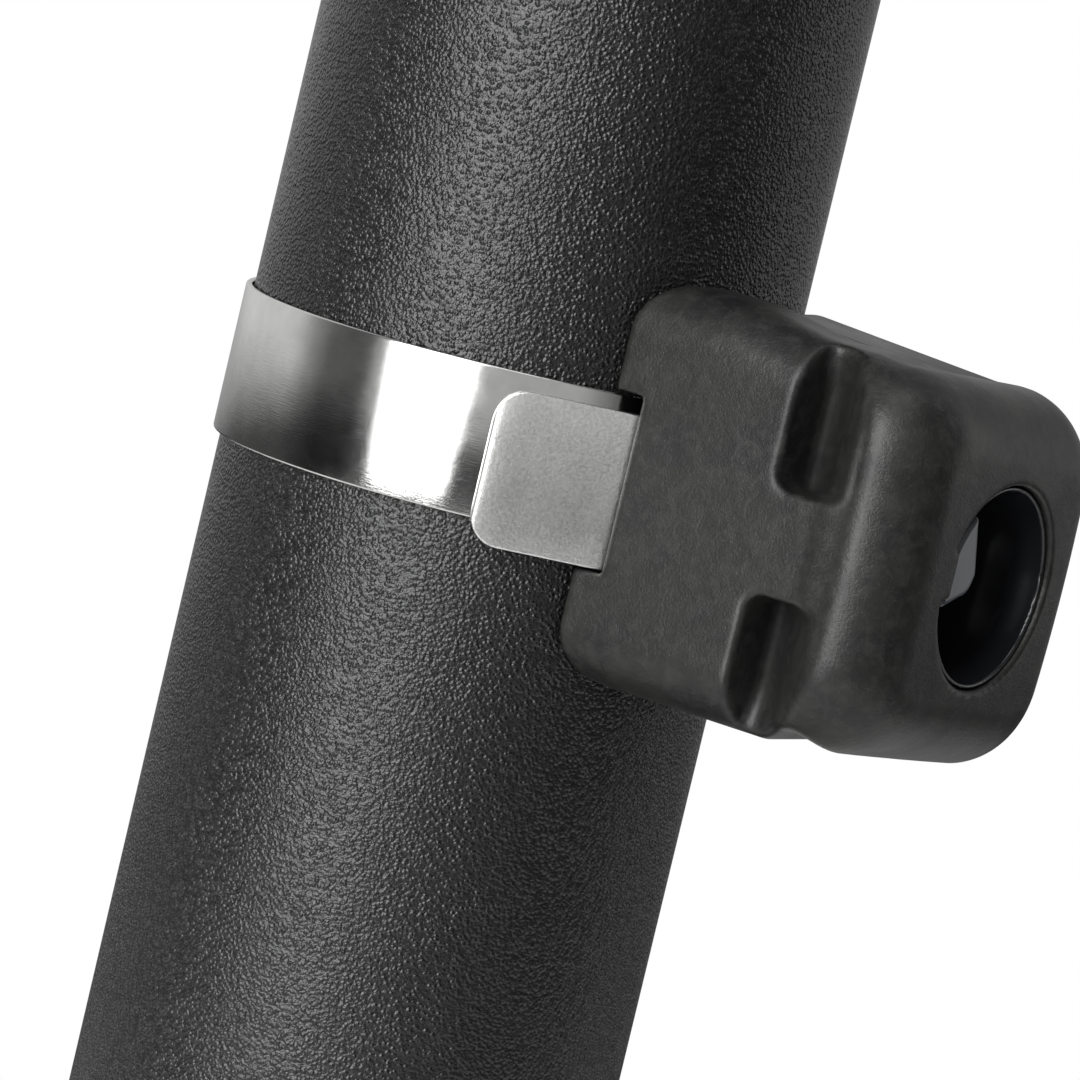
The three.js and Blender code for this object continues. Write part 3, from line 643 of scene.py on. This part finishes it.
def socket_mouth(f):
    """The round hole in the end face, with a tab of rubber left standing on its near side."""
    tab = meet(np.abs(f.z - BLOCK_Z + 0.05) - 1.45, f.y + 5.15, 0.4)
    radius = np.hypot(f.y, f.z - SOCKET_Z)
    return np.maximum(cut(radius - SOCKET_R - 0.05, tab, 0.25), 32 - f.x)


def add_block():
    f = Field((11.5, -13, BLOCK_Z - 12.6), (BLOCK_END + 0.8, 13, BLOCK_Z + 12.8), 0.2)
    u, v, w = f.x, f.y, f.z - BLOCK_Z
    block = cut(block_body(u, v, w), block_pockets(u, v, w), 0.35)
    # a notch across the bottom, between the saddle and the head
    block = cut(block, np.hypot(u - NOTCH_X, w - NOTCH_W) - NOTCH_R, 0.8)
    # the barrel's space, the strap's, the draw yoke's and the socket's
    block = cut(block, np.hypot(u, v) - BARREL_R - CLEAR, 0.4)
    block = cut(block, strap_space(f), 0.2)
    cavity = np.maximum(u - CAVITY_X, np.abs(v) - CAVITY_HALF_WIDTH)
    block = cut(block, np.maximum(cavity, np.abs(w) - CAVITY_HALF_HEIGHT), 0.4)
    block = cut(block, liner_hole(f), 0.3)
    block = cut(block, socket_mouth(f), 0.25)
    piece = f.piece("clamp_block_moulding", block)
    place(piece, "barrel", "rubber", CLAMP_RUBBER, "clamp_block")


# ---- Socket and screw ----
LINER_RIM = 33.2  # where the liner's full thickness ends
LINER_FRONT = FACE_X - 0.45
BORE_IN, BORE_OUT = 5.4, 5.7  # the liner's inside radius, deep down and at the front
BORE_FLOOR_X = 24.7
SCREW_HOLE_R = 2.3
SCREW_HEAD = 3.8
SCREW_R = 2.0


def add_liner():
    low, high = extent("socket_liner")
    f = Field(low - 0.5, high + 0.5, 0.13)
    u, v, w = f.x, f.y, f.z - BLOCK_Z
    radius = np.hypot(v, f.z - SOCKET_Z)
    sleeve = meet(radius - high[1], between(u, low[0], LINER_RIM), 0.3)
    # a thin collar reaches into the block's mouth, open beside the block's tab
    beside_tab = np.maximum(meet(np.abs(w + 0.05) - 1.75, v + 4.9), LINER_RIM + 0.1 - u)
    collar = meet(radius - SOCKET_R + 0.06, between(u, LINER_RIM - 1, LINER_FRONT), 0.12)
    sleeve = join(sleeve, cut(collar, beside_tab))
    inside = radius - mix(BORE_IN, BORE_OUT, ease(u, 32.5, LINER_FRONT))
    sleeve = cut(sleeve, np.maximum(inside, BORE_FLOOR_X - u), 0.1)
    sleeve = cut(sleeve, radius - SCREW_HOLE_R, 0.2)
    # the key: a rib along the wall on the near side
    rib = meet(between(w, -1.8, 2.4), between(v, -6.0, -2.9), 0.5)
    rib = meet(rib, between(u, 26, LINER_RIM - 0.5), 0.25)
    sleeve = join(sleeve, np.maximum(rib, radius - SOCKET_R), 0.3)
    piece = f.piece("keyed_socket_liner", sleeve)
    place(piece, "barrel", "liner_black", LINER_GLOSS, "socket_liner")


def add_socket_key():
    """The key's front end, a ledge just behind the block's tab: the liner's glossy black painted paler,
    as painted light on the ledge.
    """
    f = Field((LINER_RIM - 0.5, -6.2, SOCKET_Z - 5.5), (FACE_X, -1.5, SOCKET_Z + 5.5), 0.1)
    u, v, w = f.x, f.y, f.z - BLOCK_Z
    radius = np.hypot(v, f.z - SOCKET_Z)
    inner_edge = v + 2.2 + 0.36 * np.abs(w)
    lower_edge = 0.34 * (v + 5.5) - w - 2.1
    ledge = np.maximum(radius - BORE_IN, meet(inner_edge, lower_edge, 0.5))
    ledge = meet(ledge, between(u, LINER_RIM - 0.2, LINER_FRONT), 0.25)
    place(f.piece("socket_key", ledge), "barrel", "liner_black", KEY_PAINTED_LIT, "socket_liner")


def add_clamp_screw():
    """The socket-head cap screw at the bottom of the socket, its head outwards."""
    low, high = extent("clamp_screw")
    centre = (low + high) / 2
    f = Field(low - 0.3, high + 0.3, 0.13)
    a, b = f.y - centre[1], f.z - centre[2]
    top, head_r = high[0], (high - low)[1] / 2
    radius = np.hypot(a, b)
    head = meet(radius - head_r, between(f.x, top - SCREW_HEAD, top), 0.35)
    shank = meet(radius - SCREW_R, between(f.x, low[0], top - 1), 0.2)
    socket = np.maximum(hexagon(a, b, head_r * 0.42), top - SCREW_HEAD * 0.6 - f.x)
    screw = cut(join(head, shank, 0.15), socket, 0.12)
    place(f.piece("socket_head_screw", screw), "tightener", "steel", STEEL, "clamp_screw")


# ---- Head ----
CHUCK_Z = middle("chuck_cap")[2]
PIN_X = middle("lever_pin")[0]
HEAD_R = extent("head_body")[1][1]
BOSS_R, BOSS_X = 11, -22
SPIGOT_R = 9.7
LUG_R, LUG_HALF = 5.8, 8.9
SLOT_X, SLOT_HALF = 13.3, 5  # the lever's slot
HINGE_R = 1.85  # of the holes for the lever's pin
TUBE_SEAT_R, TUBE_SEAT_Z = 16.3, 32.8
VALVE_BORE_R, PLUNGER_BORE_R, AIR_BORE_R, BUMPER_BORE_R = 8, 3.5, 2, 5.3


def add_head():
    low, high = extent("head_body")
    f = Field(low - 0.6, high + 0.6, 0.28)
    x, y, z = f.x, f.y, f.z
    radius = np.hypot(x, y)
    from_chuck = np.hypot(y, z - CHUCK_Z)
    from_pin = np.hypot(x - PIN_X, z - CHUCK_Z)
    body = meet(radius - HEAD_R, between(z, low[2], high[2]), 1.1)
    # three grooves round the top, the chuck's boss and spigot, and the lever's lugs
    for i in range(3):
        body = cut(body, np.hypot(radius - HEAD_R - 0.25, z - high[2] + 3.2 + 2.2 * i) - 0.75, 0.2)
    body = join(body, meet(from_chuck - BOSS_R, between(x, BOSS_X, 0), 0.5), 1.8)
    body = join(body, meet(from_chuck - SPIGOT_R, between(x, low[0], 0), 0.4))
    lug = join(from_pin - LUG_R, meet(np.abs(z - CHUCK_Z) - LUG_R, between(x, 0, PIN_X)))
    body = join(body, meet(lug, np.abs(y) - LUG_HALF, 0.7), 1.2)
    # the lever's slot and hinge, the tube's seat, and the bores
    slot = meet(meet(SLOT_X - x, np.abs(y) - SLOT_HALF, 0.4), between(z, 11, high[2] - 6), 1.0)
    body = cut(body, slot, 0.4)
    body = cut(body, from_pin - HINGE_R, 0.15)
    body = cut(body, np.maximum(radius - TUBE_SEAT_R, TUBE_SEAT_Z - z), 0.3)
    body = cut(body, np.maximum(from_chuck - VALVE_BORE_R, x - 8), 0.3)
    body = cut(body, np.maximum(from_chuck - PLUNGER_BORE_R, between(x, 0, PIN_X)), 0.2)
    body = cut(body, np.maximum(radius - AIR_BORE_R, between(z, CHUCK_Z, 34)))
    body = cut(body, np.maximum(radius - BUMPER_BORE_R, z - 8.3))
    place(f.piece("pump_head", body), "barrel", "hard_black", HARD_BLACK, "head_body")


def add_bumper():
    high = extent("end_bumper")[1]
    r, top = high[0], 4.0
    outline = [(0, 0, 0), (r - 1.2, 0, 0.6), (r, 1.2, 0.8), (r, 1.9, 0.2)]
    outline += [(r - 0.5, 2.1, 0.2), (r - 0.5, 2.4, 0.2)]
    outline += [(r, 2.6, 0.2), (r, top, 0.3), (5, top, 0.3), (5, high[2], 0.5), (0, high[2], 0)]
    bumper = turned("rubber_end_bumper", outline, segments=160)
    place(bumper, "barrel", "rubber", RUBBER, "end_bumper")


# ---- Chuck ----
CAP_R, CAP_BORE_R, CAP_MOUTH_R = 12.05, 10, 4.5
CAP_FLOOR_X = -29.6
FLUTE_DEPTH = 0.75


def add_chuck():
    low, high = extent("chuck_cap")
    f = Field(low - 0.5, high + 0.5, 0.2)
    x, radius = f.x, np.hypot(f.y, f.z - CHUCK_Z)
    turn = np.arctan2(f.z - CHUCK_Z, f.y)
    flute = np.abs(np.sin(9 * turn)) ** 0.7
    grip = np.clip((x - low[0] - 2.2) / 1.5, 0, 1) * np.clip((high[0] - 1.5 - x) / 1.5, 0, 1)
    outside = radius - CAP_R + FLUTE_DEPTH * (1 - flute) * grip
    cap = meet(outside * 0.8, between(x, low[0], high[0]), 0.9)
    cap = cut(cap, np.maximum(radius - CAP_BORE_R, CAP_FLOOR_X - x), 0.25)
    cap = cut(cap, radius - CAP_MOUTH_R - np.maximum(low[0] + 2.4 - x, 0), 0.3)
    place(f.piece("knurled_chuck_cap", cap), "chuck", "hard_black", HARD_BLACK, "chuck_cap")


def add_gasket():
    low, high = extent("valve_gasket")
    outline = [(3.9, low[0], 0.6), (high[1], low[0], 0.4), (high[1], high[0], 0.4), (3.9, high[0], 0.6)]
    gasket = turned("valve_mouth_gasket", outline, "X", (0, 0, CHUCK_Z), 96)
    place(gasket, "barrel", "rubber", RUBBER, "valve_gasket")


# ---- Lever ----
BLADE_X = 22  # the blade's middle plane below its curl
BLADE_HALF_WIDTH = 7
BLADE_START = 9  # above the pin
ARM_HALF_WIDTH = 4.7
RIDGE_PITCH = 2.1


def lever_blade(x, y, z, tip):
    """The lever's long thin plate: it curls outwards at the tip, with ridges on its outer face."""
    curl = 4.2 * np.clip((z - tip + 12) / 12, 0, 2) ** 2
    thick = 2.35 - 0.8 * np.clip((z - 35) / (tip - 35), 0, 1)
    blade = np.abs(x - BLADE_X - curl) - thick
    ridges = 0.22 * np.cos(2 * math.pi * (tip - z) / RIDGE_PITCH) * np.clip((z - tip + 13) / 1.5, 0, 1)
    blade = blade + np.where(x > BLADE_X, ridges * np.clip((tip - 2 - z) / 1.5, 0, 1), 0)
    centre = (CHUCK_Z + BLADE_START + tip) / 2
    outline = rectangle(y, z - centre, BLADE_HALF_WIDTH, (tip - CHUCK_Z - BLADE_START) / 2, 3.0)
    return meet(blade * 0.9, outline, 0.9)


def add_lever():
    low, high = extent("thumb_lever")
    f = Field(low - 0.5, high + 0.5, 0.2)
    x, y, z = f.x, f.y, f.z
    # the hub is off the pin's centre, so it works as a cam
    hub = meet(np.hypot(x - PIN_X - 2.2, z - CHUCK_Z) - 5, np.abs(y) - ARM_HALF_WIDTH, 0.5)
    neck = meet(between(x, 19.6, 24.4), np.abs(y) - ARM_HALF_WIDTH, 0.8)
    neck = meet(neck, between(z, CHUCK_Z, CHUCK_Z + 13), 0.4)
    lever = join(join(hub, neck, 1.0), lever_blade(x, y, z, high[2]), 1.5)
    lever = cut(lever, np.hypot(x - PIN_X, z - CHUCK_Z) - HINGE_R, 0.15)
    place(f.piece("thumb_lock_lever", lever), "lever", "hard_black", HARD_BLACK, "thumb_lever")


def add_lever_pin():
    low, high = extent("lever_pin")
    outline = [(0, low[1], 0), (1.6, low[1], 0.3), (1.6, high[1], 0.3), (0, high[1], 0)]
    pin = turned("lever_hinge_pin", outline, "Y", (PIN_X, 0, CHUCK_Z), 48)
    place(pin, "barrel", "steel", STEEL, "lever_pin")


# ---- Collar ----
FINGER_FLUTE_R = 3.1
ROD_SPACE_R = 9.3


def add_collar():
    low, high = extent("top_collar")
    f = Field(low - 0.5, high + 0.5, 0.25)
    radius, turn = np.hypot(f.x, f.y), np.arctan2(f.y, f.x)
    collar = meet(radius - HEAD_R, between(f.z, low[2], high[2]), 1.3)
    # eight finger flutes round the lower part
    sector = np.mod(turn + math.pi / 8, math.pi / 4) - math.pi / 8
    flute = np.hypot(radius * np.cos(sector) - HEAD_R - 2.2, radius * np.sin(sector)) - FINGER_FLUTE_R
    collar = cut(collar, np.maximum(flute, f.z - high[2] + 4), 0.5)
    skirt_top = BARREL_HIGH[2] + CLEAR
    collar = cut(collar, np.maximum(radius - BARREL_R - CLEAR, f.z - skirt_top), 0.3)
    collar = cut(collar, radius - ROD_SPACE_R, 0.4)
    place(f.piece("fluted_top_collar", collar), "barrel", "hard_black", HARD_BLACK, "top_collar")


def add_wiper():
    low, high = extent("rod_wiper_ring")
    outline = [(6.3, low[2], 0.1), (9, low[2], 0.3), (9, high[2], 0.5), (7, high[2], 0.3)]
    wiper = turned("rod_wiper", outline, segments=96)
    place(wiper, "barrel", "rubber", RUBBER, "rod_wiper_ring")


# ---- Handle ----
GRIP_BORE_R = 14.8
CORE_R = 14.5
CORE_BORE_R = 6.3
CORE_FLOOR = 278  # underside of the wall that the handle's screw goes through
ROD_R, ROD_BORE_R = 6, 4.4
RIB_PITCH = 3.6
RIB_DEPTH = 0.9


def grip_ripple(turn, height, radius):
    """Rows of shallow round ribs, parted by six plain channels along the grip."""
    low, high = extent("handle_grip")
    outer = np.clip((radius - 16.8) / 0.4, 0, 1)
    ends = np.clip((height - low[2] - 5) / 2, 0, 1) * np.clip((high[2] - 6 - height) / 2, 0, 1)
    rib = 0.5 - 0.5 * np.cos(2 * math.pi * (height - low[2]) / RIB_PITCH)
    channel = np.clip((np.abs(np.sin(3 * turn)) - 0.12) * 7, 0, 1)
    return -RIB_DEPTH * outer * ends * (1 - rib * channel)


def add_grip():
    low, high = extent("handle_grip")
    r = high[0]
    levels = np.linspace(low[2] + 2.5, high[2] - 2.5, 130)
    length = levels[-1] - levels[0]
    waist = [(r - 0.8 * math.sin(math.pi * (z - levels[0]) / length), z, 0) for z in levels]
    outline = [(GRIP_BORE_R, low[2], 0.3), (r - 1, low[2], 0.8), *waist]
    outline += [(r - 1, high[2], 0.8), (GRIP_BORE_R, high[2], 0.3)]
    grip = turned("ribbed_handle_grip", outline, segments=216, ripple=grip_ripple)
    place(grip, "handle", "rubber", GRIP_RUBBER, "handle_grip")


def add_core():
    """The handle's core: a flange under the grip, and a bore for the rod up to the screw's wall."""
    low, high = extent("handle_core")
    r, flange = high[0], low[2] + 3.5
    outline = [(CORE_BORE_R, low[2], 0.3), (r - 0.8, low[2], 0.8), (r, low[2] + 1, 0.4)]
    outline += [(r, flange, 0.4), (CORE_R, flange, 0), (CORE_R, high[2], 0.4)]
    outline += [(2.3, high[2], 0.1), (2.3, CORE_FLOOR, 0), (CORE_BORE_R, CORE_FLOOR, 0)]
    core = turned("handle_sleeve_core", outline, segments=160)
    place(core, "handle", "hard_black", HARD_BLACK, "handle_core")


def add_trim_ring():
    low, high = extent("handle_ring")
    outline = [(GRIP_BORE_R, low[2], 0.2), (high[0], low[2], 0.35)]
    outline += [(high[0], high[2], 0.35), (GRIP_BORE_R, high[2], 0.2)]
    trim = turned("handle_trim_ring", outline, segments=160)
    place(trim, "handle", "aluminium", SATIN_ALUMINIUM, "handle_ring")


def add_end_cap():
    """The handle's cap: hollow over the screw's head, with a groove round it and a sunk flat top."""
    low, high = extent("handle_end_cap")
    r, top = high[0], high[2]
    outline = [(0, 287, 0), (8, 287, 0.3), (8, low[2], 0.3), (r, low[2], 0.4)]
    outline += [(r, low[2] + 3.6, 0.2), (r - 0.5, low[2] + 3.9, 0.2)]
    outline += [(r - 0.5, low[2] + 4.5, 0.2), (r, low[2] + 4.8, 0.2)]
    outline += [(r, top - 3.4, 2.0), (r - 4.5, top, 1.5)]
    outline += [(10, top, 0.4), (9.4, top - 0.5, 0.3), (0, top - 0.5, 0)]
    cap = turned("domed_end_cap", outline, segments=160)
    place(cap, "handle", "hard_black", HARD_BLACK, "handle_end_cap")


def add_rod():
    low, high = extent("piston_rod")
    outline = [(ROD_BORE_R, low[2], 0.2), (ROD_R, low[2], 0.3)]
    outline += [(ROD_R, high[2], 0.3), (ROD_BORE_R, high[2], 0.2)]
    rod = turned("satin_piston_rod", outline, segments=96)
    place(rod, "handle", "aluminium", SATIN_ALUMINIUM, "piston_rod")


# ---- Inside ----
def finish_hidden_nodes():
    """Materials of the CAD nodes that stay: they are inside, and hardly show."""
    finishes = {
        ACETAL: ("rod_bush", "barrel_end_plug", "piston_body"),
        RUBBER: ("end_plug_seal", "check_valve_disc", "plunger_seal", "piston_cup", "bump_stop_ring"),
        SATIN_ALUMINIUM: ("gasket_plunger",),
        BRASS: ("rod_lower_plug", "rod_upper_plug"),
        STEEL: (
            "piston_washer",
            "piston_screw",
            "handle_screw",
            "draw_yoke",
            "front_band_pin",
            "rear_band_pin",
            "clamp_washer",
        ),
    }
    for material, nodes in finishes.items():
        for node in nodes:
            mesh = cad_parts[node].data
            mesh.materials.clear()
            mesh.materials.append(material)


# ---- Studio ----
def softbox(name, sideways, height, distance, width, tall, power):
    """An area light aimed at the clamp, so many degrees to the right of the camera and up."""
    a = math.radians(VIEW_AZIMUTH + sideways)
    e = math.radians(height)
    direction = Vector((math.sin(a) * math.cos(e), -math.cos(a) * math.cos(e), math.sin(e)))
    data = bpy.data.lights.new(name, "AREA")
    data.shape = "RECTANGLE"
    data.size, data.size_y = width * MM, tall * MM
    data.energy = power
    light = bpy.data.objects.new(name, data)
    bpy.context.scene.collection.objects.link(light)
    light.location = (Vector((0, 0, BAND_Z)) + direction * distance) * MM
    light.rotation_euler = direction.to_track_quat("Z", "Y").to_euler()
    light.visible_camera = False


# how bright the studio's walls look from the clamp, by degrees to the right of the camera
WALLS = {
    -170: 0.6, -140: 0.8, -100: 0.7, -90: 0.35, -80: 0.13, -60: 0.08, -54: 0.5, -49: 0.05,
    -43: 0.05, -39: 0.6, -10: 0.5, 10: 0.5, 30: 0.5, 50: 0.06, 80: 0.06, 108: 0.4,
    118: 1.6, 128: 0.4, 150: 0.35,
}


def fill_ramp(stops):
    """Puts the walls' levels on a colour ramp that starts and ends at the camera's direction."""
    levels = sorted((degrees % 360, level) for degrees, level in WALLS.items())
    for degrees, level in levels:
        stops.new(degrees / 360).color = (level, level, level, 1)
    for end in (0, len(stops) - 1):
        stops[end].color = (levels[0][1],) * 3 + (1,)


def wall_light(tree):
    """Background that shows the walls: lit by direction round the studio, and darker low down."""
    direction = add_node(tree, "ShaderNodeTexCoord").outputs["Generated"]
    camera_at = math.radians(VIEW_AZIMUTH - 90)
    turn = {"Vector": direction, "Angle": math.pi - camera_at}
    turned_to = add_node(tree, "ShaderNodeVectorRotate", turn, rotation_type="Z_AXIS").outputs[0]
    parts = add_node(tree, "ShaderNodeSeparateXYZ", {"Vector": turned_to}).outputs
    sides = {0: parts["Y"], 1: parts["X"]}
    angle = add_node(tree, "ShaderNodeMath", sides, operation="ARCTAN2").outputs[0]
    # the angle is 0 opposite the camera, so its share of the turn starts from the camera
    whole_turn = {"Value": angle, "From Min": -math.pi, "From Max": math.pi}
    share = add_node(tree, "ShaderNodeMapRange", whole_turn).outputs["Result"]
    ramp = add_node(tree, "ShaderNodeValToRGB", {"Fac": share})
    fill_ramp(ramp.color_ramp.elements)
    height = {"Value": parts["Z"], "From Min": -0.2, "From Max": -0.04, "To Min": 0.1, "To Max": 1.0}
    strength = add_node(tree, "ShaderNodeMapRange", height).outputs["Result"]
    shade = {"Color": ramp.outputs["Color"], "Strength": strength}
    return add_node(tree, "ShaderNodeBackground", shade).outputs[0]


def studio_world():
    """White to the camera, and the studio's walls to everything else."""
    world = bpy.data.worlds.new("white studio")
    bpy.context.scene.world = world
    world.use_nodes = True
    tree = world.node_tree
    white = {"Color": (1, 1, 1, 1), "Strength": 1.0}
    seen = add_node(tree, "ShaderNodeBackground", white).outputs[0]
    to_camera = add_node(tree, "ShaderNodeLightPath").outputs["Is Camera Ray"]
    chosen = add_node(tree, "ShaderNodeMixShader", {"Fac": to_camera, 1: wall_light(tree), 2: seen})
    tree.links.new(chosen.outputs[0], tree.nodes["World Output"].inputs["Surface"])


def add_studio():
    softbox("key", -32, 14, 700, 440, 880, 8.6)
    softbox("top", -20, 75, 900, 500, 400, 1.0)
    studio_world()
    bpy.context.scene.view_settings.view_transform = "Standard"


def add_floor():
    """A round white floor that fades into the white background."""
    radius = 330
    angles = np.linspace(0, 2 * math.pi, 96, endpoint=False)
    rim = [(radius * math.cos(t), radius * math.sin(t), -0.05) for t in angles]
    floor = link("floor", rim, [tuple(range(len(rim)))])
    n = Nodes("white floor")
    fade = n.span(n.distance(n.coordinates), 160 * MM, 320 * MM, 1.0, 0.0)
    n.surface(base_color=(0.93, 0.93, 0.93), roughness=0.9, alpha=fade)
    floor.data.materials.append(n.material)


add_camera()
add_floor()
add_studio()
add_barrel()
add_strap()
add_block()
add_liner()
add_socket_key()
add_head()
add_bumper()
add_chuck()
add_gasket()
add_lever()
add_lever_pin()
add_collar()
add_wiper()
add_grip()
add_core()
add_trim_ring()
add_end_cap()
add_rod()
finish_hidden_nodes()
add_clamp_screw()
